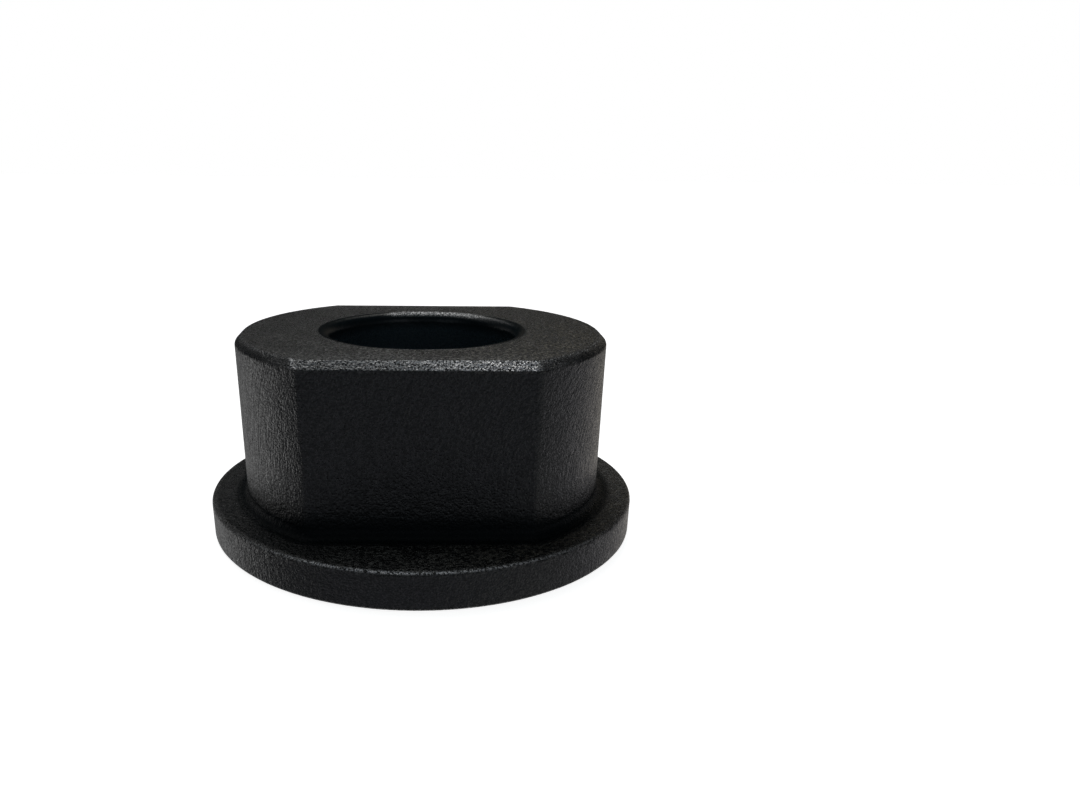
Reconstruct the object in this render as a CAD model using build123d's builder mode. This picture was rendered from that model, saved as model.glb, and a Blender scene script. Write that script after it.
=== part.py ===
from build123d import *
import os

# Flanged bushing: a double-D barrel on a round flange, with a round bore through both,
# moulded in one piece. Sizes are in millimetres. The origin is the centre of the flange's
# underside, +Z runs up the bore, and the two flats face -Y and +Y.

# Barrel: a round body with a flat cut into it front and back, to key it against turning
barrel_diameter = 31.75
barrel_length = 14.0
flat_depth = 2.725

# Flange: the round collar that the bushing stands on
flange_overhang = 3.125
flange_thickness = 3.35

# Bore: a running fit on the shaft that turns in it, with the clearance on its diameter
shaft_diameter = 15.875
bore_clearance = 0.075

# Edges of the barrel: its corners at the end face, the lead-in chamfer and the foot
end_corner_radius = 0.2
lead_chamfer = 0.64
foot_radius = 0.8

# Edges of the flange and of the bore
flange_top_round = 0.4
flange_bottom_break = 0.3
mouth_round = 0.9
bore_edge_break = 0.4

# Worked out from the sizes above
across_flats = barrel_diameter - 2 * flat_depth
barrel_corner_radius = end_corner_radius + lead_chamfer
barrel_top = flange_thickness + barrel_length
flange_diameter = barrel_diameter + 2 * flange_overhang
bore_diameter = shaft_diameter + bore_clearance

with BuildPart() as bushing:
    # Flange disc, rounded at its upper edge and broken at its lower one
    with BuildSketch(Plane.XY):
        Circle(flange_diameter / 2)
    extrude(amount=flange_thickness)
    flange_rims = bushing.edges(Select.LAST).filter_by(GeomType.CIRCLE).sort_by(Axis.Z)
    fillet(flange_rims[-1], flange_top_round)
    chamfer(flange_rims[0], flange_bottom_break)

    # Double-D barrel standing on the flange
    with BuildSketch(Plane.XY.offset(flange_thickness)) as barrel_section:
        Circle(barrel_diameter / 2)
        Rectangle(barrel_diameter, across_flats, mode=Mode.INTERSECT)
        fillet(barrel_section.vertices(), barrel_corner_radius)
    extrude(amount=barrel_length)

    # Foot radius, all round the line where the barrel meets the flange
    foot_line = bushing.edges(Select.LAST).group_by(Axis.Z)[0]
    fillet(foot_line, foot_radius)

    # Lead-in chamfer round the free end
    end_face = bushing.faces().sort_by(Axis.Z)[-1]
    chamfer(end_face.edges(), lead_chamfer)

    # Bore through the barrel and the flange
    with BuildSketch(Plane.XY):
        Circle(bore_diameter / 2)
    extrude(amount=barrel_top, mode=Mode.SUBTRACT)

    # Rounded mouth at the free end, and a small edge break under the flange
    bore_rims = bushing.edges(Select.LAST).filter_by(GeomType.CIRCLE).sort_by(Axis.Z)
    fillet(bore_rims[-1], mouth_round)
    chamfer(bore_rims[0], bore_edge_break)

bushing.part.label = "bushing"

os.makedirs("parts", exist_ok=True)
export_step(bushing.part, "parts/bushing.step")
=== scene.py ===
"""The looks of a black moulded flanged bushing on a pale floor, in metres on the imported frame."""

import logging
import math
from dataclasses import dataclass
from enum import Enum

import bpy
import numpy as np
from mathutils import Matrix, Vector, noise


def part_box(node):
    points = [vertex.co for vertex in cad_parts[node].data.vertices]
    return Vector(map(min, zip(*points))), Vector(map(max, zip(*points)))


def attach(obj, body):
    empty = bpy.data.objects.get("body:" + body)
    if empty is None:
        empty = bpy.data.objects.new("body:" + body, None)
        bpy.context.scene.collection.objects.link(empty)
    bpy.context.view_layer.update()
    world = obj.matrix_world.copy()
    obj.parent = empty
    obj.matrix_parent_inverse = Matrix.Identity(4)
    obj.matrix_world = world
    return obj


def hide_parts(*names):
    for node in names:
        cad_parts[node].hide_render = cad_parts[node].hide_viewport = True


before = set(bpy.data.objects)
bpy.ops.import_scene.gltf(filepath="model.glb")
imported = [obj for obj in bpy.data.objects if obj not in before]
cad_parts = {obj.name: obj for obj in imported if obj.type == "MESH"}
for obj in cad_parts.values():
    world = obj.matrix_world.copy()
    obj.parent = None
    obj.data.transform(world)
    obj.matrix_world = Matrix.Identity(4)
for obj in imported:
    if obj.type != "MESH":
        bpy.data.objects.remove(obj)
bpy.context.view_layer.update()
MM = 0.001
NODE = "bushing"
# Mask of the edges' scuffing together with painted highlight, one value per vertex.
EDGE_WEAR_AND_HIGHLIGHT = "edge_wear_and_highlight"
SAND = "mould_sand"
# Share of painted shade at each vertex: it dims the gloss, thins the specks and brings in the shade tint.
FOOT_SHADE = "foot_shade"
# Share of the bluish tint painted where shade falls, one value per vertex.
SHADE_TINT = "shade_tint"
LOG = logging.getLogger("bushing")
Pair = tuple[float, float]
Triple = tuple[float, float, float]
Table = tuple[Pair, ...]
Socket = bpy.types.NodeSocket
Value = Socket | float
Colour = Socket | Triple


class Zone(Enum):
    """Where on the bushing a ring of the skin lies."""

    BORE = "bore"
    UNDERSIDE = "underside"
    FLANGE_RIM = "flange rim"
    RIM_EDGE = "rim edge"
    SEAT = "seat"
    FOOT = "foot"
    WALL = "wall"
    LEAD_IN = "lead-in"
    END_FACE = "end face"
    MOUTH = "mouth"


@dataclass(frozen=True)
class Surface:
    """How a zone's skin is: its relief's depth, how sandy it is, how much bluish shade tint is painted on
    it, and its painted shade at the left.
    """

    relief: float
    sand: float = 1.0
    shade_tint: float = 0.0
    left_shade: float = 0.0


# A zone's shade tint paints the bluish shade of the bore and the mouth.
SURFACES = {
    Zone.BORE: Surface(0.25, sand=0.8, shade_tint=1.0),
    Zone.UNDERSIDE: Surface(0.5, sand=1.5),
    Zone.FLANGE_RIM: Surface(0.8, left_shade=0.33),
    Zone.RIM_EDGE: Surface(0.8, sand=1.4),
    Zone.SEAT: Surface(1.0, sand=1.55, left_shade=0.58),
    Zone.FOOT: Surface(0.15, sand=0.6),
    Zone.WALL: Surface(1.0),
    Zone.LEAD_IN: Surface(0.8, sand=1.4),
    Zone.END_FACE: Surface(1.0, sand=2.4),
    Zone.MOUTH: Surface(0.2, sand=0.3, shade_tint=0.3),
}


@dataclass(frozen=True)
class BushingSizes:
    """The bushing's sizes, in metres. The flange's radius and the barrel's top come from the frame."""

    flange_radius: float
    barrel_top: float
    barrel_radius: float = 15.875 * MM
    flat_reach: float = 13.15 * MM
    corner_radius: float = 0.84 * MM
    flange_thickness: float = 3.35 * MM
    foot_radius: float = 0.8 * MM
    lead_in: float = 0.64 * MM
    bore_radius: float = 7.975 * MM
    mouth_round: float = 0.9 * MM
    bore_break: float = 0.4 * MM
    rim_top_round: float = 0.4 * MM
    rim_bottom_break: float = 0.3 * MM
    line_ease: float = 0.13 * MM

    @classmethod
    def from_frame(cls, node: str) -> "BushingSizes":
        """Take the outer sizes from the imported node's box.

        Args:
            node: the node's name in the frame.

        Returns:
            The sizes of that node.
        """
        low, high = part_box(node)
        return cls(flange_radius=(high[0] - low[0]) / 2, barrel_top=high[2])


@dataclass(frozen=True)
class Ring:
    """One ring of the skin: the double-D outline moved out by offset, mixed with a circle."""

    zone: Zone
    height: float
    offset: float = 0.0
    circle: float = 0.0
    share: float = 0.0


def arc_points(centre: Pair, radius: float, start: float, end: float, steps: int) -> list[Pair]:
    """Points along an arc in the profile's plane.

    Args:
        centre: the arc's centre, across and up.
        radius: its radius.
        start: its first angle, in degrees from straight out.
        end: its last angle, in degrees.
        steps: how many equal steps it takes.

    Returns:
        The points, both ends included.
    """
    angles = np.radians(np.linspace(start, end, steps + 1))
    return [(centre[0] + radius * math.cos(a), centre[1] + radius * math.sin(a)) for a in angles]


def line_points(start: Pair, end: Pair, steps: int) -> list[Pair]:
    """Points between two profile points, neither of them included.

    Args:
        start: the line's first point.
        end: its last point.
        steps: how many equal steps it takes.

    Returns:
        The inner points.
    """
    shares = np.linspace(0.0, 1.0, steps + 1)[1:-1]
    return [(start[0] + (end[0] - start[0]) * t, start[1] + (end[1] - start[1]) * t) for t in shares]


def eased_corner(before: Pair, corner: Pair, after: Pair, cut: float, steps: int = 4) -> list[Pair]:
    """Round a profile's corner by a quadratic curve that starts and ends a short way from it.

    Args:
        before: a point on the line that comes in.
        corner: the sharp corner.
        after: a point on the line that goes out.
        cut: how far from the corner the curve starts and ends.
        steps: how many steps the curve takes.

    Returns:
        The curve's points, both ends included.
    """
    c = np.array(corner)
    a = c + cut * (np.array(before) - c) / np.linalg.norm(np.array(before) - c)
    b = c + cut * (np.array(after) - c) / np.linalg.norm(np.array(after) - c)
    shares = np.linspace(0, 1, steps + 1)
    return [tuple((1 - t) ** 2 * a + 2 * t * (1 - t) * c + t ** 2 * b) for t in shares]


def read_table(table: Table, at: np.ndarray | float) -> np.ndarray:
    """Read a table of places and values, along straight lines between its rows.

    Args:
        table: the rows, each a place and its value.
        at: the places to read it at.

    Returns:
        The value at each place.
    """
    return np.interp(at, *zip(*table))


@dataclass
class MouldedSkin:
    """The bushing's whole outside as one closed grid of rings, with the mould's relief in it.

    The tables that give scuffing with painted highlight, and clearness of painted shade, across the front
    go by millimetres from left to right, and the lead-in's profiles go by the share of the chamfer that
    is climbed.
    """

    sizes: BushingSizes
    flat_steps: int = 96
    round_steps: int = 168
    corner_steps: int = 6
    foot_rows: int = 12
    wall_rows: int = 50
    slope_rows: int = 4
    end_face_rows: int = 20
    mouth_rows: int = 10
    bore_rows: int = 22
    under_rows: int = 10
    rim_rows: int = 11
    rim_round_rows: int = 10
    seat_rows: int = 13
    hidden_ease_rows: int = 2
    relief_depth: float = 0.016 * MM
    drawn_per_mm: Triple = (1.6, 1.6, 0.22)
    drawn_fractal: Triple = (0.8, 2.1, 3)
    sway_per_mm: float = 0.22
    lumps_per_mm: float = 1.9
    relief_shares: Triple = (0.26, 0.3, 0.18)
    front_facing: Pair = (0.6, 0.9)
    wall_shade_reach: Pair = (0.4 * MM, 1.9 * MM)
    seat_shade_reach: float = 0.8 * MM
    left_shade_span_mm: Pair = (-12.0, -4.0)
    bore_clear: float = 0.3
    mouth_fade: float = 0.6
    mouth_clear: Table = (
        (-7.0, 0.25), (-4.0, 0.25), (-2.9, 0.95), (0.0, 1.0), (5.0, 1.0), (7.0, 0.25))
    # Scuffing with painted highlight: the lead-in's lines and the rim's rounding; the mouth tables paint
    # a highlight arc, the face values paint glints.
    side_wear_and_highlight: float = 0.04
    lead_in_wear_and_highlight: Table = (
        (-9.6, 0.1), (-9.3, 1.4), (-8.9, 0.42), (-5.0, 0.42), (-2.0, 0.62), (0.0, 0.78), (3.3, 1.2),
        (6.5, 1.9), (8.5, 1.4), (8.9, 0.2))
    lead_in_profile: Table = (
        (0.0, 0.0), (0.08, 0.9), (0.3, 1.0), (0.45, 0.7), (0.6, 1.0), (0.9, 1.2), (1.0, 0.9), (1.05, 0.0))
    lead_in_side_profile: Table = ((0.65, 0.0), (0.85, 0.14), (1.0, 0.14), (1.05, 0.0))
    lead_in_side_shade: Table = ((0.0, 0.0), (0.05, 0.8), (0.4, 0.75), (0.75, 0.2), (1.0, 0.0))
    face_glint: float = 0.12
    face_glint_reach: float = 0.6
    rim_wear_and_highlight: Table = (
        (-12.0, 0.5), (-9.4, 0.8), (-6.5, 1.0), (-3.3, 1.15), (0.0, 1.05), (3.3, 0.75), (6.5, 0.65),
        (9.4, 0.45))
    mouth_back_highlight: Table = ((-3.4, 0.0), (-2.7, 0.85), (4.3, 0.7), (6.0, 0.0))
    mouth_front_highlight: Table = ((-2.2, 0.0), (-1.8, 0.35), (2.0, 0.35), (2.5, 0.0))
    mouth_highlight_reach: float = 0.35
    rim_highlight_slope: float = 47.0
    rim_highlight_spread: float = 24.0

    def outline(self) -> tuple[np.ndarray, np.ndarray]:
        """The double-D outline of the barrel, anticlockwise from the front flat's left end.

        Returns:
            The outline's points and its outward normals, one row each.
        """
        s = self.sizes
        inner = s.barrel_radius - s.corner_radius
        corner_y = s.flat_reach - s.corner_radius
        corner_x = math.sqrt(inner ** 2 - corner_y ** 2)
        turn = math.atan2(corner_y, corner_x)
        points, normals = [], []
        for side in (0.0, math.pi):
            spin = np.array(Matrix.Rotation(side, 2))
            for x in np.linspace(-corner_x, corner_x, self.flat_steps, endpoint=False):
                points.append(spin @ (x, -s.flat_reach))
                normals.append(spin @ (0.0, -1.0))
            arcs = (((corner_x, -corner_y), s.corner_radius, -math.pi / 2, -turn, self.corner_steps),
                    ((0.0, 0.0), s.barrel_radius, -turn, turn, self.round_steps),
                    ((corner_x, corner_y), s.corner_radius, turn, math.pi / 2, self.corner_steps))
            for centre, radius, start, end, steps in arcs:
                for a in np.linspace(start, end, steps, endpoint=False):
                    out = np.array((math.cos(a), math.sin(a)))
                    points.append(spin @ (np.array(centre) + radius * out))
                    normals.append(spin @ out)
        return np.array(points), np.array(normals)

    def barrel_rings(self) -> list[Ring]:
        """The rings from the foot radius up the wall and over the lead-in chamfer."""
        s = self.sizes
        foot_top = (0.0, s.flange_thickness + s.foot_radius)
        chamfer_low = (0.0, s.barrel_top - s.lead_in)
        chamfer_high = (-s.lead_in, s.barrel_top)
        inward = (-2 * s.lead_in, s.barrel_top)
        low_ease = eased_corner(foot_top, chamfer_low, chamfer_high, s.line_ease)
        high_ease = eased_corner(chamfer_low, chamfer_high, inward, s.line_ease)
        foot = arc_points((s.foot_radius, foot_top[1]), s.foot_radius, 270, 180, self.foot_rows)
        wall = line_points(foot_top, low_ease[0], self.wall_rows)
        slope = line_points(low_ease[-1], high_ease[0], self.slope_rows)
        rings = [Ring(Zone.FOOT, z, offset=d) for d, z in foot]
        rings += [Ring(Zone.WALL, z, offset=d) for d, z in wall]
        rings += [Ring(Zone.LEAD_IN, z, offset=d) for d, z in low_ease + slope + high_ease]
        return rings

    def end_face_rings(self, start: float) -> list[Ring]:
        """The rings across the end face, from the lead-in's inner line to the bore's mouth.

        Args:
            start: the offset of the lead-in's last ring.

        Returns:
            The rings between the two lines.
        """
        s = self.sizes
        mouth = s.bore_radius + s.mouth_round
        shares = np.linspace(0.0, 1.0, self.end_face_rows + 1)[1:-1]
        return [Ring(Zone.END_FACE, s.barrel_top, offset=start, circle=mouth, share=t) for t in shares]

    def bore_rings(self) -> list[Ring]:
        """The rings round the mouth, down the bore and over the edge break under the flange."""
        s = self.sizes
        mouth_centre = (s.bore_radius + s.mouth_round, s.barrel_top - s.mouth_round)
        mouth = arc_points(mouth_centre, s.mouth_round, 90, 180, self.mouth_rows)
        wall_end = (s.bore_radius, s.bore_break)
        wall = line_points(mouth[-1], wall_end, self.bore_rows)
        under = (s.bore_radius + s.bore_break, 0.0)
        rings = [Ring(Zone.MOUTH, z, circle=r, share=1.0) for r, z in mouth]
        rings += [Ring(Zone.BORE, z, circle=r, share=1.0) for r, z in wall]
        low_ease = eased_corner(mouth[-1], wall_end, under, s.line_ease, self.hidden_ease_rows)
        rings += [Ring(Zone.BORE, z, circle=r, share=1.0) for r, z in low_ease]
        return rings

    def flange_rings(self) -> list[Ring]:
        """The rings under the flange, up its rim and across its seat to the foot radius.

        Returns:
            The rings, from the bore's edge break to the foot radius.
        """
        s = self.sizes
        inner = (s.bore_radius + s.bore_break, 0.0)
        outer = (s.flange_radius - s.rim_bottom_break, 0.0)
        rim_low = (s.flange_radius, s.rim_bottom_break)
        rim_high = (s.flange_radius, s.flange_thickness - s.rim_top_round)
        ease = (s.line_ease, self.hidden_ease_rows)
        under = eased_corner((s.bore_radius, s.bore_break), inner, outer, *ease)
        low_ease = eased_corner(inner, outer, rim_low, *ease)
        low_ease += eased_corner(outer, rim_low, rim_high, *ease)
        round_centre = (rim_high[0] - s.rim_top_round, rim_high[1])
        top_round = arc_points(round_centre, s.rim_top_round, 0, 90, self.rim_round_rows)
        rim = line_points(low_ease[-1], rim_high, self.rim_rows)
        under += line_points(under[-1], low_ease[0], self.under_rows)
        rings = [Ring(Zone.UNDERSIDE, z, circle=r, share=1.0) for r, z in under]
        rings += [Ring(Zone.FLANGE_RIM, z, circle=r, share=1.0) for r, z in low_ease + rim]
        rings += [Ring(Zone.RIM_EDGE, z, circle=r, share=1.0) for r, z in top_round]
        seat = np.linspace(1.0, 0.0, self.seat_rows + 1)[1:-1]
        across = {"offset": s.foot_radius, "circle": top_round[-1][0]}
        rings += [Ring(Zone.SEAT, s.flange_thickness, share=t, **across) for t in seat]
        return rings

    def rings(self) -> list[Ring]:
        """Every ring, in order round the closed profile."""
        barrel = self.barrel_rings()
        return self.flange_rings() + barrel + self.end_face_rings(barrel[-1].offset) + self.bore_rings()

    def relief(self, point: Vector) -> float:
        """How far the mould's flow and grain sink the surface at a point, as a share of the depth.

        Args:
            point: a place on the bushing, in metres.

        Returns:
            A number from 0 to 1.
        """
        place = point / MM
        drawn = Vector([along * scale for along, scale in zip(place, self.drawn_per_mm)])
        streak = noise.fractal(drawn, *self.drawn_fractal)
        sway = noise.noise(place * self.sway_per_mm)
        lumps = noise.noise(place * self.lumps_per_mm)
        of_streak, of_sway, of_lumps = self.relief_shares
        return min(1.0, max(0.0, 0.5 + of_streak * streak + of_sway * sway + of_lumps * lumps))

    def build(self, name: str) -> bpy.types.Object:
        """Make the skin's mesh.

        Args:
            name: the new object's name.

        Returns:
            The new object, linked to the scene.
        """
        points, normals = self.outline()
        rings = self.rings()
        places = self.ring_places(rings, points, normals)
        mesh = self.closed_grid(name, places)
        self.press_relief(mesh, rings, len(points))
        wear_and_highlight, shade = [], []
        for ring, ring_places in zip(rings, places):
            wear_and_highlight.append(self.ring_wear_and_highlight(ring, normals, ring_places))
            shade.append(self.ring_shade(ring, points, normals, ring_places))
        surfaces = [SURFACES[ring.zone] for ring in rings]
        self.mark(mesh, EDGE_WEAR_AND_HIGHLIGHT, np.concatenate(wear_and_highlight))
        self.mark(mesh, SAND, np.repeat([surface.sand for surface in surfaces], len(points)))
        self.mark(mesh, SHADE_TINT, np.repeat([surface.shade_tint for surface in surfaces], len(points)))
        self.mark(mesh, FOOT_SHADE, np.concatenate(shade))
        mesh.polygons.foreach_set("use_smooth", [True] * len(mesh.polygons))
        skin = bpy.data.objects.new(name, mesh)
        bpy.context.scene.collection.objects.link(skin)
        return skin

    def ring_places(self, rings: list[Ring], points: np.ndarray, normals: np.ndarray) -> np.ndarray:
        """Work out where the points of every ring lie, before the relief.

        Args:
            rings: the rings.
            points: the outline's points.
            normals: the outline's outward normals.

        Returns:
            The places, by ring, point and coordinate.
        """
        angles = np.arctan2(points[:, 1], points[:, 0])
        compass = np.column_stack([np.cos(angles), np.sin(angles)])
        places = np.empty((len(rings), len(points), 3))
        for row, ring in enumerate(rings):
            barrel = (1 - ring.share) * (points + ring.offset * normals)
            places[row, :, :2] = barrel + ring.share * ring.circle * compass
            places[row, :, 2] = ring.height
        return places

    def closed_grid(self, name: str, places: np.ndarray) -> bpy.types.Mesh:
        """Make a mesh of four-sided faces that closes on itself both ways.

        Args:
            name: the mesh's name.
            places: the vertices' places, by ring, point and coordinate.

        Returns:
            The mesh.
        """
        rows, columns = places.shape[:2]
        row_index = np.arange(rows)[:, None]
        col_index = np.arange(columns)[None, :]
        here = row_index * columns
        there = (row_index + 1) % rows * columns
        beside = (col_index + 1) % columns
        quads = np.stack([here + col_index, here + beside, there + beside, there + col_index], axis=-1)
        mesh = bpy.data.meshes.new(name)
        mesh.from_pydata(places.reshape(-1, 3).tolist(), [], quads.reshape(-1, 4).tolist())
        mesh.update()
        return mesh

    def press_relief(self, mesh: bpy.types.Mesh, rings: list[Ring], columns: int) -> None:
        """Sink each vertex inwards by the mould's relief, so that the skin stays inside its true size.

        Args:
            mesh: the skin's mesh, its faces turned outwards.
            rings: the rings that its vertices lie on.
            columns: how many vertices a ring has.
        """
        normals = [v.normal.copy() for v in mesh.vertices]
        for index, vertex in enumerate(mesh.vertices):
            depth = SURFACES[rings[index // columns].zone].relief
            vertex.co -= normals[index] * (self.relief_depth * depth * self.relief(vertex.co))
        mesh.update()

    def mark(self, mesh: bpy.types.Mesh, name: str, values: np.ndarray) -> None:
        """Give every vertex a value for the finish to read.

        Args:
            mesh: the skin's mesh.
            name: the value's name.
            values: one number for each vertex.
        """
        layer = mesh.attributes.new(name, "FLOAT", "POINT")
        layer.data.foreach_set("value", np.asarray(values, dtype=np.float32))

    def ring_wear_and_highlight(self, ring: Ring, normals: np.ndarray, places: np.ndarray) -> np.ndarray:
        """How much scuffing with painted highlight each point of a ring gets: the front edges most, the
        flange's along its middle, with painted highlight at the mouth and painted glints on the end face.

        Args:
            ring: the ring.
            normals: the outline's outward normals.
            places: the ring's own points.

        Returns:
            A number for each point: 0 where it is clean, and 1 or more where scuffing and painted
                highlight are strong.
        """
        across = places[:, 0] / MM
        front = self.facing_front(normals)
        # The lead-in's lines: scuffing together with painted highlight, stronger to the right.
        if ring.zone is Zone.LEAD_IN:
            climb = self.climb(ring)
            side = read_table(self.lead_in_side_profile, climb)
            worn_and_lit = read_table(self.lead_in_profile, climb) * read_table(self.lead_in_wear_and_highlight, across)
            return side + (worn_and_lit - side) * front
        # Painted glints along the end face's front.
        if ring.zone is Zone.END_FACE:
            return self.face_glint * front * max(0.0, 1.0 - ring.share / self.face_glint_reach)
        # Painted highlight along the mouth's back arc and its front lip.
        if ring.zone is Zone.MOUTH:
            down = (self.sizes.barrel_top - ring.height) / self.sizes.mouth_round
            back = read_table(self.mouth_back_highlight, across)
            front = read_table(self.mouth_front_highlight, across)
            worn_and_lit = np.where(places[:, 1] > 0.0, back, front)
            return max(0.0, 1.0 - down / self.mouth_highlight_reach) * worn_and_lit
        if ring.zone is not Zone.RIM_EDGE:
            return np.zeros(len(places))
        # The rim's rounding: a painted highlight line with scuffing, centred on the slope that catches
        # the light.
        radius = self.sizes.rim_top_round
        up = (ring.height - self.sizes.flange_thickness + radius) / radius
        slope = math.degrees(math.asin(min(1.0, max(0.0, up))))
        middle = max(0.0, 1.0 - abs(slope - self.rim_highlight_slope) / self.rim_highlight_spread)
        worn_and_lit = read_table(self.rim_wear_and_highlight, across)
        front = self.facing_front(places[:, :2] / ring.circle)
        return middle * (self.side_wear_and_highlight + (worn_and_lit - self.side_wear_and_highlight) * front)

    def facing_front(self, normals: np.ndarray) -> np.ndarray:
        """How far each point faces the front: 1 on the front flat and 0 at the sides and behind."""
        return np.interp(-normals[:, 1], self.front_facing, (0.0, 1.0))

    def climb(self, ring: Ring) -> float:
        """How far up the lead-in chamfer a ring lies: 0 at its lower line and 1 at its upper one."""
        up = 1.0 + (ring.height - self.sizes.barrel_top) / self.sizes.lead_in
        return (up - ring.offset / self.sizes.lead_in) / 2

    def ring_shade(self, ring: Ring, points: np.ndarray, normals: np.ndarray,
                   places: np.ndarray) -> np.ndarray:
        """How shaded each point of a ring is: wholly at the foot, and less away from it.

        Args:
            ring: the ring.
            points: the outline's points.
            normals: the outline's outward normals.
            places: the ring's own points.

        Returns:
            A share from 0 to 1 for each point.
        """
        s = self.sizes
        across = places[:, 0] / MM
        away = np.ones(len(points))
        if ring.zone is Zone.WALL:
            outward = np.abs(points[:, 1])
            corner = (s.flat_reach - 2.0 * s.corner_radius, s.flat_reach)
            reach = np.interp(outward, corner, self.wall_shade_reach)
            away = (ring.height - s.flange_thickness - s.foot_radius) / reach
        elif ring.zone is Zone.SEAT:
            out = np.linalg.norm(places[:, :2] - points, axis=1) - s.foot_radius
            away = out / self.seat_shade_reach
        elif ring.zone is Zone.FOOT:
            away[:] = 0.0
        elif ring.zone is Zone.LEAD_IN:
            side = read_table(self.lead_in_side_shade, self.climb(ring))
            away = 1.0 - side * (1.0 - self.facing_front(normals))
        elif ring.zone is Zone.BORE:
            away[:] = self.bore_clear
        elif ring.zone is Zone.MOUTH:
            down = (s.barrel_top - ring.height) / s.mouth_round
            clear = read_table(self.mouth_clear, across)
            away = clear + (self.bore_clear - clear) * down ** self.mouth_fade
        near = np.clip(1.0 - away, 0.0, 1.0)
        left = np.interp(across, self.left_shade_span_mm, (SURFACES[ring.zone].left_shade, 0.0))
        return np.maximum(near * near * (3.0 - 2.0 * near), left)


class NodeBench:
    """Short ways to add and join nodes in one node tree."""

    def __init__(self, tree: bpy.types.NodeTree) -> None:
        """Work on one tree."""
        self.tree = tree

    def add(self, kind: str) -> bpy.types.Node:
        """Add a node of a kind."""
        return self.tree.nodes.new(kind)

    def find(self, kind: str) -> bpy.types.Node:
        """Find the tree's first node of a kind."""
        return next(n for n in self.tree.nodes if n.bl_idname == kind)

    def output(self, kind: str, socket: str) -> Socket:
        """Add a node and give one of its outputs."""
        return self.add(kind).outputs[socket]

    def link(self, source: Socket, target: Socket) -> None:
        """Join an output to an input."""
        self.tree.links.new(source, target)

    def maths(self, operation: str, first: Value, second: Value) -> Socket:
        """Combine two values, each of them a socket or a number.

        Args:
            operation: the math node's operation.
            first: its first value.
            second: its second value.

        Returns:
            The result's socket.
        """
        node = self.add("ShaderNodeMath")
        node.operation = operation
        for socket, value in zip(node.inputs, (first, second)):
            if isinstance(value, Socket):
                self.link(value, socket)
            else:
                socket.default_value = value
        return node.outputs[0]

    def level(self, noise: Socket, height: float) -> Socket:
        """Centre a noise on nothing and give it a height."""
        return self.maths("MULTIPLY", self.maths("SUBTRACT", noise, 0.5), height)

    def split(self, vector: Socket) -> bpy.types.NodeOutputs:
        """Split a vector into its X, Y and Z."""
        node = self.add("ShaderNodeSeparateXYZ")
        self.link(vector, node.inputs[0])
        return node.outputs

    def scaled(self, vector: Socket, factor: float) -> Socket:
        """Scale a vector by a number."""
        node = self.add("ShaderNodeVectorMath")
        node.operation = "SCALE"
        self.link(vector, node.inputs[0])
        node.inputs["Scale"].default_value = factor
        return node.outputs[0]

    def noise(self, vector: Socket, scale: float, detail: float = 1.0, roughness: float = 0.5) -> Socket:
        """Add a noise texture.

        Args:
            vector: where it is read.
            scale: how many lumps it has in one unit of length.
            detail: how many finer layers it has.
            roughness: how strong the finer layers are.

        Returns:
            Its value, from 0 to 1.
        """
        node = self.add("ShaderNodeTexNoise")
        self.link(vector, node.inputs["Vector"])
        node.inputs["Scale"].default_value = scale
        node.inputs["Detail"].default_value = detail
        node.inputs["Roughness"].default_value = roughness
        return node.outputs["Fac"]

    def map_range(self, value: Socket, low: float, high: float, to_low: float, to_high: float) -> Socket:
        """Map a value from one range to another.

        Args:
            value: the value's socket.
            low: the range's low end.
            high: the range's high end.
            to_low: what the low end becomes.
            to_high: what the high end becomes.

        Returns:
            The mapped value's socket.
        """
        node = self.add("ShaderNodeMapRange")
        self.link(value, node.inputs["Value"])
        ends = {"From Min": low, "From Max": high, "To Min": to_low, "To Max": to_high}
        for socket, number in ends.items():
            node.inputs[socket].default_value = number
        return node.outputs[0]

    def two_colours(self, share: Socket, first: Colour, second: Colour) -> Socket:
        """Mix two colours, each of them a socket or three numbers.

        Args:
            share: the second colour's share.
            first: the first colour.
            second: the second colour.

        Returns:
            The mixed colour's socket.
        """
        node = self.add("ShaderNodeMix")
        node.data_type = "RGBA"
        self.link(share, node.inputs["Factor"])
        for socket, colour in ((node.inputs[6], first), (node.inputs[7], second)):
            if isinstance(colour, Socket):
                self.link(colour, socket)
            else:
                socket.default_value = (*colour, 1.0)
        return node.outputs[2]

    def blend(self, share: Socket, first: Socket, second: float) -> Socket:
        """Mix a value with a number by a share.

        Args:
            share: the number's share.
            first: the value's socket.
            second: the number.

        Returns:
            The mixed value's socket.
        """
        node = self.add("ShaderNodeMix")
        for socket, source in ((node.inputs[0], share), (node.inputs[2], first)):
            self.link(source, socket)
        node.inputs[3].default_value = second
        return node.outputs[0]

    def attribute(self, name: str) -> Socket:
        """Read a value that the mesh's vertices carry."""
        node = self.add("ShaderNodeAttribute")
        node.attribute_name = name
        return node.outputs["Fac"]


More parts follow.
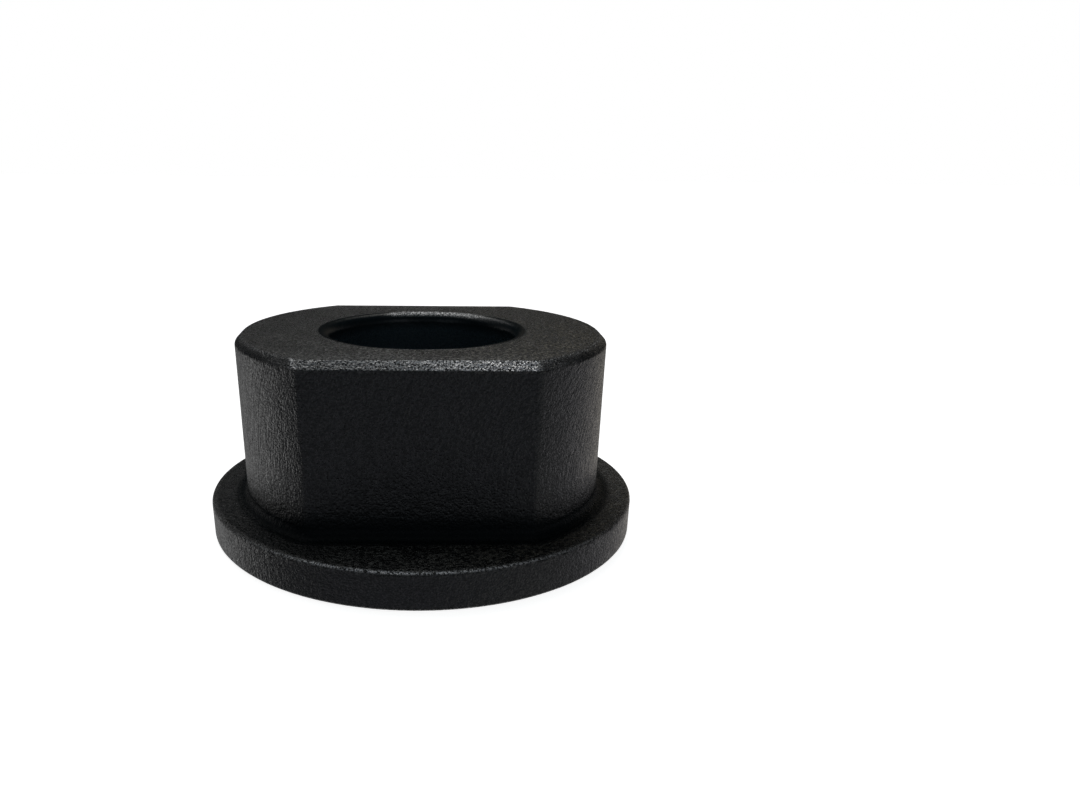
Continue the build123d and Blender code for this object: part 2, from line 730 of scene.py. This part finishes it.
@dataclass(frozen=True)
class BlackNylon:
    """The finish of the whole moulding: black filled nylon, sandy in grain, with drawn flow lines.

    A span in millimetres runs along one of the object's axes. Edges are the two ends of a noise
    between which something sets in, and sand is how coarse the mould's grain is.
    """

    name: str = "black_moulded_nylon"
    dark: Triple = (0.0014, 0.0021, 0.0026)
    pale: Triple = (0.0046, 0.0045, 0.0044)
    # Pale grey of the scuffing, which also paints highlights on the edges and in the mouth.
    scuff_and_highlight_grey: Triple = (0.80, 0.80, 0.81)
    speckled: Triple = (0.250, 0.250, 0.238)
    # Warm speck colour towards the right: a painted warm reflection.
    warm_reflection_speck: Triple = (0.230, 0.200, 0.148)
    # Bluish tint painted where shade falls, in the bore, the mouth and the foot.
    shade_tint_colour: Triple = (0.020, 0.034, 0.041)
    smooth_gloss: float = 0.24
    dull_gloss: float = 0.48
    scuff_and_highlight_gloss: float = 0.20
    polished_gloss: float = 0.14
    grain_per_mm: float = 6.5
    pit_per_mm: float = 2.6
    speck_per_mm: float = 3.4
    streak_per_mm: float = 4.4
    scuff_and_highlight_per_mm: float = 7.0
    scuff_and_highlight_edges: Pair = (0.41, 0.57)
    cloud_per_mm: float = 0.35
    cloud_detail: float = 3.0
    streak_detail: float = 2.0
    layer_roughness: float = 0.6
    streak_stretch: float = 0.12
    flat_rise_mm: Pair = (13.0, 13.1)
    flat_fall_mm: Pair = (13.25, 13.5)
    flat_streaks: float = 2.0
    flange_streaks: float = 0.45
    flange_span_mm: Pair = (3.3, 3.7)
    aside_span_mm: Pair = (9.0, 16.0)
    aside_streaks: Pair = (0.35, 2.2)
    lean_start_mm: float = 7.0
    lean_per_mm2: float = 0.0042
    lean_span_mm: Pair = (-16.0, 16.0)
    lean_sides: Pair = (0.25, 1.0)
    grain_height: float = 3.0
    pit_height: float = 2.6
    pit_sand_power: float = 1.5
    scuff_and_highlight_sand: float = 1.4
    streak_height: float = 2.9
    bump_depth: float = 0.030 * MM
    speck_edges: Pair = (0.48, 0.68)
    speck_sand: Pair = (1.2, 2.4)
    speck_span_mm: Pair = (-13.0, 8.0)
    speck_ends: Pair = (1.0, 0.25)
    rear_span_mm: Pair = (8.5, 12.0)
    rear_specks: float = 0.95
    left_span_mm: Pair = (-15.0, -5.0)
    left_specks: float = 0.3
    speck_shade: float = 0.6
    warm_reflection_span_mm: Pair = (-2.0, 14.0)
    cloud_share: float = 0.35
    index_of_refraction: float = 1.5
    gloss_level: float = 0.5
    foot_level: float = 0.05
    foot_shade_tint: float = 0.15
    streak_gloss: float = 0.4
    gloss_edges: Pair = (0.38, 0.62)
    polish_sand: Pair = (0.3, 1.0)
    patchy_edges: Pair = (0.40, 0.60)
    patchy_gloss: Pair = (1.15, 0.85)
    scuff_and_glint_level: float = 1.0
    scuffed_glint: float = 0.45

    def build(self) -> bpy.types.Material:
        """Make the finish's node material.

        Returns:
            The material.
        """
        material = bpy.data.materials.new(self.name)
        material.use_nodes = True
        nodes = NodeBench(material.node_tree)
        shader = nodes.find("ShaderNodeBsdfPrincipled")
        shader.inputs["IOR"].default_value = self.index_of_refraction
        place = nodes.scaled(nodes.output("ShaderNodeTexCoord", "Object"), 1 / MM)
        grain = nodes.noise(place, self.grain_per_mm)
        pits = nodes.noise(place, self.pit_per_mm)
        clouds = nodes.noise(place, self.cloud_per_mm, self.cloud_detail, self.layer_roughness)
        streaks = self.streaks(nodes, place)
        scuff_and_highlight = self.scuff_and_highlight(nodes, place)
        self.colour(nodes, shader, place, clouds, scuff_and_highlight)
        sand = nodes.attribute(SAND)
        self.gloss(nodes, shader, streaks, grain, scuff_and_highlight, sand)
        self.bump(nodes, shader, grain, pits, streaks, sand)
        return material

    def scuff_and_highlight(self, nodes: NodeBench, place: Socket) -> Socket:
        """Where the edges carry scuffing with painted highlight, in specks finer than the grain.

        Args:
            nodes: the material's node bench.
            place: the place on the object, in millimetres.

        Returns:
            The scuffing with painted highlight, from 0 to 1.
        """
        worn_and_lit = nodes.attribute(EDGE_WEAR_AND_HIGHLIGHT)
        specks = nodes.noise(place, self.scuff_and_highlight_per_mm)
        speck = nodes.map_range(specks, *self.scuff_and_highlight_edges, 0.0, 1.0)
        return nodes.maths("MULTIPLY", worn_and_lit, speck)

    def specks(self, nodes: NodeBench, place: Socket, clouds: Socket) -> Socket:
        """Pale specks, thickest on the sandy end face and towards the front flat.

        Args:
            nodes: the material's node bench.
            place: the place on the object, in millimetres.
            clouds: the clouds' value.

        Returns:
            The specks, from 0 to 1.
        """
        along = nodes.split(place)
        grain = nodes.noise(place, self.speck_per_mm)
        grain = nodes.maths("ADD", grain, nodes.level(clouds, self.cloud_share))
        top = nodes.map_range(grain, *self.speck_edges, 0.0, 1.0)
        sandy = nodes.map_range(nodes.attribute(SAND), *self.speck_sand, 0.0, 1.0)
        forward = nodes.map_range(along["Y"], *self.speck_span_mm, *self.speck_ends)
        rear = nodes.map_range(along["Y"], *self.rear_span_mm, 0.0, self.rear_specks)
        forward = nodes.maths("MAXIMUM", forward, rear)
        leftward = nodes.map_range(along["X"], *self.left_span_mm, self.left_specks, 1.0)
        forward = nodes.maths("MULTIPLY", forward, leftward)
        clear = nodes.map_range(nodes.attribute(FOOT_SHADE), 0.0, self.speck_shade, 1.0, 0.0)
        where = nodes.maths("MULTIPLY", forward, clear)
        return nodes.maths("MULTIPLY", nodes.maths("MULTIPLY", top, sandy), where)

    def colour(self, nodes: NodeBench, shader: bpy.types.Node, place: Socket,
               clouds: Socket, scuff_and_highlight: Socket) -> None:
        """Colour the nylon: nearly black, paler in clouds and specks, bluish where shade tint is painted,
        warmer to the right as a painted reflection, and pale grey with glints where scuffing and painted
        highlight lie.

        Args:
            nodes: the material's node bench.
            shader: the shader that takes the colour.
            place: the place on the object, in millimetres.
            clouds: the clouds' value.
            scuff_and_highlight: the scuffing with painted highlight.
        """
        clean = nodes.two_colours(clouds, self.dark, self.pale)
        # Painted shade tint: bluish in the bore and the mouth, and following the painted shade at the
        # foot.
        shade_tint = nodes.maths("MULTIPLY", nodes.attribute(FOOT_SHADE), self.foot_shade_tint)
        shade_tint = nodes.maths("MAXIMUM", nodes.attribute(SHADE_TINT), shade_tint)
        clean = nodes.two_colours(shade_tint, clean, self.shade_tint_colour)
        # Painted warm reflection: the specks turn warm towards the right.
        rightward = nodes.map_range(nodes.split(place)["X"], *self.warm_reflection_span_mm, 0.0, 1.0)
        warm_reflection_specks = nodes.two_colours(rightward, self.speckled, self.warm_reflection_speck)
        specked = nodes.two_colours(self.specks(nodes, place, clouds), clean, warm_reflection_specks)
        # Scuffing and painted highlight: pale grey with a metallic glint.
        nodes.link(nodes.two_colours(scuff_and_highlight, specked, self.scuff_and_highlight_grey), shader.inputs["Base Color"])
        nodes.link(nodes.maths("MULTIPLY", scuff_and_highlight, self.scuffed_glint), shader.inputs["Metallic"])

    def gloss(self, nodes: NodeBench, shader: bpy.types.Node, streaks: Socket,
              grain: Socket, scuff_and_highlight: Socket, sand: Socket) -> None:
        """Set the gloss: patchy with the grain, smooth at the mouth and in the scuffing and painted
        highlight, weak at the foot and wherever else shade is painted.

        Args:
            nodes: the material's node bench.
            shader: the shader that takes the values.
            streaks: the flow lines' value.
            grain: the grain's value.
            scuff_and_highlight: the scuffing with painted highlight.
            sand: how coarse the sandy grain is.
        """
        mixed = nodes.maths("ADD", nodes.maths("MULTIPLY", streaks, self.streak_gloss), grain)
        clean = nodes.map_range(mixed, *self.gloss_edges, self.smooth_gloss, self.dull_gloss)
        share = nodes.maths("MULTIPLY", scuff_and_highlight, self.scuff_and_highlight_gloss - self.smooth_gloss)
        dull = nodes.maths("ADD", clean, share)
        polish = nodes.map_range(sand, *self.polish_sand, 1.0, 0.0)
        nodes.link(nodes.blend(polish, dull, self.polished_gloss), shader.inputs["Roughness"])
        # Painted shade: the specular level drops where the shade is painted.
        shade = nodes.attribute(FOOT_SHADE)
        level = nodes.map_range(shade, 0.0, 1.0, self.gloss_level, self.foot_level)
        # The scuffing and painted highlight raise the specular level into glints.
        glint = nodes.maths("MULTIPLY", scuff_and_highlight, self.scuff_and_glint_level - self.gloss_level)
        level = nodes.maths("ADD", level, glint)
        patchy = nodes.map_range(mixed, *self.patchy_edges, *self.patchy_gloss)
        nodes.link(nodes.maths("MULTIPLY", level, patchy), shader.inputs["Specular IOR Level"])

    def bump(self, nodes: NodeBench, shader: bpy.types.Node, grain: Socket,
             pits: Socket, streaks: Socket, sand: Socket) -> None:
        """Raise the grain, the pits and the flow lines, and roughen the edges that carry scuffing and
        painted highlight.

        Args:
            nodes: the material's node bench.
            shader: the shader that takes the bump.
            grain: the grain's value.
            pits: the pits' value.
            streaks: the flow lines' value.
            sand: how coarse the sandy grain is.
        """
        worn_and_lit = nodes.maths("MULTIPLY", nodes.attribute(EDGE_WEAR_AND_HIGHLIGHT), self.scuff_and_highlight_sand)
        coarse = nodes.maths("ADD", sand, worn_and_lit)
        fine = nodes.maths("MULTIPLY", nodes.level(grain, self.grain_height), coarse)
        steep = nodes.maths("POWER", coarse, self.pit_sand_power)
        sandy = nodes.maths("MULTIPLY", nodes.level(pits, self.pit_height), steep)
        sandy = nodes.maths("ADD", fine, sandy)
        lines = nodes.maths("MULTIPLY", streaks, nodes.maths("MINIMUM", sand, 1.0))
        height = nodes.maths("ADD", sandy, nodes.maths("MULTIPLY", lines, self.streak_height))
        bump = nodes.add("ShaderNodeBump")
        bump.inputs["Distance"].default_value = self.bump_depth
        nodes.link(height, bump.inputs["Height"])
        nodes.link(bump.outputs["Normal"], shader.inputs["Normal"])

    def streaks(self, nodes: NodeBench, place: Socket) -> Socket:
        """The flow lines: drawn down the walls and leaning round the axis towards the free end.

        Args:
            nodes: the material's node bench.
            place: the place on the object, in millimetres.

        Returns:
            The lines' height, above or below the surface's own.
        """
        along = nodes.split(place)
        above = nodes.maths("MAXIMUM", nodes.maths("SUBTRACT", along["Z"], self.lean_start_mm), 0.0)
        side = nodes.map_range(along["X"], *self.lean_span_mm, *self.lean_sides)
        lean = nodes.maths("MULTIPLY", nodes.maths("POWER", above, 2.0), -self.lean_per_mm2)
        turned = nodes.add("ShaderNodeVectorRotate")
        turned.rotation_type = "Z_AXIS"
        nodes.link(place, turned.inputs["Vector"])
        nodes.link(nodes.maths("MULTIPLY", lean, side), turned.inputs["Angle"])
        drawn = nodes.add("ShaderNodeVectorMath")
        drawn.operation = "MULTIPLY"
        nodes.link(turned.outputs[0], drawn.inputs[0])
        drawn.inputs[1].default_value = (1.0, 1.0, self.streak_stretch)
        layers = (self.streak_detail, self.layer_roughness)
        lines = nodes.noise(drawn.outputs[0], self.streak_per_mm, *layers)
        share = nodes.map_range(along["Z"], *self.flange_span_mm, self.flange_streaks, 1.0)
        share = nodes.maths("MULTIPLY", share, self.flat_share(nodes, along["Y"]))
        outward = nodes.maths("ABSOLUTE", along["X"], 0.0)
        aside = nodes.map_range(outward, *self.aside_span_mm, *self.aside_streaks)
        share = nodes.maths("MULTIPLY", share, aside)
        return nodes.maths("MULTIPLY", nodes.level(lines, 1.0), share)

    def flat_share(self, nodes: NodeBench, along_y: Socket) -> Socket:
        """Strengthen the flow lines on the two flats.

        Args:
            nodes: the material's node bench.
            along_y: how far back from the object's middle a place is, in millimetres.

        Returns:
            The lines' share at each place: 1 off the flats.
        """
        across = nodes.maths("ABSOLUTE", along_y, 0.0)
        flat = nodes.map_range(across, *self.flat_rise_mm, 0.0, 1.0)
        beyond = nodes.map_range(across, *self.flat_fall_mm, 1.0, 0.0)
        return nodes.map_range(nodes.maths("MULTIPLY", flat, beyond), 0.0, 1.0, 1.0, self.flat_streaks)


@dataclass(frozen=True)
class SoftLight:
    """One soft light of the studio, as a lobe of the surrounding sky."""

    name: str
    azimuth: float
    elevation: float
    sharpness: float
    strength: float
    tint: Triple = (1.0, 1.0, 1.0)

    def direction(self) -> Vector:
        """The way to the light. Azimuth 0 is the camera's side and 90 the object's right."""
        a, e = math.radians(self.azimuth), math.radians(self.elevation)
        return Vector((math.sin(a) * math.cos(e), -math.cos(a) * math.cos(e), math.sin(e)))


COOL = (0.90, 1.00, 1.10)
WARM = (1.12, 1.02, 0.86)
BLUISH = (0.97, 0.97, 1.06)
LIGHTS = (
    SoftLight("window", 180, 62, 50, 3.28),
    SoftLight("window top", 180, 76, 50, 0.92),
    SoftLight("window foot", 180, 48, 50, 1.08, (1.04, 1.02, 0.94)),
    SoftLight("lamp", 200, 56, 110, 1.54),
    SoftLight("lamp top", 200, 68, 110, 0.74),
    SoftLight("lamp foot", 200, 40, 110, 1.55),
    SoftLight("lamp behind left", 240, 58, 14, 0.55),
    SoftLight("roof", 0, 88, 14, 0.34, (0.88, 1.05, 1.07)),
    SoftLight("front left", 330, 8, 14, 0.41, COOL),
    SoftLight("front right", 30, 8, 14, 0.53, (0.92, 1.00, 1.08)),
    SoftLight("right", 60, 8, 14, 0.13, COOL),
    SoftLight("floor right", 90, -16, 14, 0.26),
    SoftLight("floor behind right", 120, -16, 14, 0.54, BLUISH),
    SoftLight("floor right of the back", 150, -16, 14, 0.44, WARM),
    SoftLight("floor behind left", 240, -16, 14, 1.23),
    SoftLight("floor in front", 0, -42, 14, 0.41, (0.95, 0.95, 1.10)),
    SoftLight("floor front right", 60, -42, 14, 0.54),
    SoftLight("floor front left", 300, -42, 14, 0.47, BLUISH),
    SoftLight("floor behind", 180, -42, 14, 1.43),
)


@dataclass(frozen=True)
class Studio:
    """A pale floor and soft light all round."""

    lights: tuple[SoftLight, ...] = LIGHTS
    paper: float = 1.0
    floor_size: float = 4.0
    floor_colour: Triple = (0.86, 0.86, 0.86)
    floor_roughness: float = 0.9
    floor_glow: float = 0.9

    def light(self) -> None:
        """Light the world with the soft lights. The camera itself sees plain white paper."""
        world = bpy.data.worlds.new("studio")
        bpy.context.scene.world = world
        world.use_nodes = True
        nodes = NodeBench(world.node_tree)
        background = nodes.find("ShaderNodeBackground")
        away = nodes.output("ShaderNodeTexCoord", "Generated")
        total = nodes.output("ShaderNodeCombineXYZ", "Vector")
        for lamp in self.lights:
            total = self.add_lobe(nodes, away, total, lamp)
        seen = nodes.output("ShaderNodeLightPath", "Is Camera Ray")
        paper = nodes.add("ShaderNodeMix")
        paper.data_type = "VECTOR"
        nodes.link(seen, paper.inputs[0])
        nodes.link(total, paper.inputs[4])
        paper.inputs[5].default_value = (self.paper,) * 3
        nodes.link(paper.outputs[1], background.inputs["Color"])

    def add_lobe(self, nodes: NodeBench, away: Socket, total: Socket, lamp: SoftLight) -> Socket:
        """Add one light's lobe to the sum.

        Args:
            nodes: the world's node bench.
            away: the direction that is looked in.
            total: the sum so far.
            lamp: the light.

        Returns:
            The new sum's socket.
        """
        dot = nodes.add("ShaderNodeVectorMath")
        dot.operation = "DOT_PRODUCT"
        nodes.link(away, dot.inputs[0])
        dot.inputs[1].default_value = lamp.direction()
        lobe = nodes.maths("POWER", nodes.maths("MAXIMUM", dot.outputs["Value"], 0.0), lamp.sharpness)
        tint = nodes.add("ShaderNodeVectorMath")
        tint.operation = "SCALE"
        tint.name = lamp.name
        tint.inputs[0].default_value = [lamp.strength * c for c in lamp.tint]
        nodes.link(lobe, tint.inputs["Scale"])
        added = nodes.add("ShaderNodeVectorMath")
        added.operation = "ADD"
        nodes.link(total, added.inputs[0])
        nodes.link(tint.outputs[0], added.inputs[1])
        return added.outputs[0]

    def lay_floor(self) -> bpy.types.Object:
        """Lay the pale floor that the bushing stands on.

        Returns:
            The floor.
        """
        half = self.floor_size / 2
        mesh = bpy.data.meshes.new("floor")
        corners = [(-half, -half, 0), (half, -half, 0), (half, half, 0), (-half, half, 0)]
        mesh.from_pydata(corners, [], [(0, 1, 2, 3)])
        floor = bpy.data.objects.new("floor", mesh)
        bpy.context.scene.collection.objects.link(floor)
        material = bpy.data.materials.new("pale_paper")
        material.use_nodes = True
        nodes = NodeBench(material.node_tree)
        shader = nodes.find("ShaderNodeBsdfPrincipled")
        shader.inputs["Roughness"].default_value = self.floor_roughness
        shader.inputs["Specular IOR Level"].default_value = 0.0
        shader.inputs["Base Color"].default_value = (*self.floor_colour, 1.0)
        shader.inputs["Emission Color"].default_value = (1.0, 1.0, 1.0, 1.0)
        shader.inputs["Emission Strength"].default_value = self.floor_glow
        floor.data.materials.append(material)
        floor.visible_glossy = False
        floor.visible_diffuse = False
        floor.visible_shadow = False
        return floor


@dataclass(frozen=True)
class PhotoCamera:
    """The photograph's camera, as fitted to the object's edges. Angles are in degrees."""

    frame_width: float = 1080.0
    frame_height: float = 810.0
    focal_pixels: float = 816.5
    centre_x: float = 464.5
    centre_y: float = 500.75
    place: Triple = (1.206 * MM, -71.448 * MM, 30.453 * MM)
    look_down: float = 22.288
    turn: float = 2.120
    roll: float = -0.728
    sensor: float = 36.0
    clip: Pair = (1 * MM, 10.0)

    def build(self) -> bpy.types.Object:
        """Make the camera and give it to the scene.

        Returns:
            The camera.
        """
        data = bpy.data.cameras.new("photo_camera")
        data.sensor_width = self.sensor
        data.lens = self.sensor * self.focal_pixels / self.frame_width
        data.shift_x = (self.frame_width / 2 - self.centre_x) / self.frame_width
        data.shift_y = (self.centre_y - self.frame_height / 2) / self.frame_width
        data.clip_start, data.clip_end = self.clip
        camera = bpy.data.objects.new("photo_camera", data)
        bpy.context.scene.collection.objects.link(camera)
        camera.matrix_world = self.pose()
        bpy.context.scene.camera = camera
        return camera

    def pose(self) -> Matrix:
        """Where the camera stands and which way it looks.

        Returns:
            Its matrix.
        """
        turn, down, roll = (math.radians(v) for v in (self.turn, self.look_down, self.roll))
        right = Vector((math.cos(turn), -math.sin(turn), 0.0))
        level = math.cos(down)
        ahead = Vector((level * math.sin(turn), level * math.cos(turn), -math.sin(down)))
        up = right.cross(ahead)
        rolled_right = right * math.cos(roll) - up * math.sin(roll)
        rolled_up = right * math.sin(roll) + up * math.cos(roll)
        pose = Matrix((rolled_right, rolled_up, -ahead)).transposed().to_4x4()
        pose.translation = Vector(self.place)
        return pose


def main() -> None:
    """Build the bushing's skin, the studio and the camera."""
    logging.basicConfig(level=logging.INFO, format="%(name)s: %(message)s")
    sizes = BushingSizes.from_frame(NODE)
    skin = MouldedSkin(sizes).build("bushing_skin")
    skin.data.materials.append(BlackNylon().build())
    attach(skin, "root")
    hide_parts(NODE)
    LOG.info("skin: %d faces", len(skin.data.polygons))
    studio = Studio()
    studio.light()
    floor = studio.lay_floor()
    LOG.info("studio: floor %s, %d lights", floor.name, len(studio.lights))
    camera = PhotoCamera().build()
    LOG.info("camera: %.1f mm lens", camera.data.lens)
    bpy.context.scene.view_settings.view_transform = "Standard"


if __name__ == "__main__":
    main()
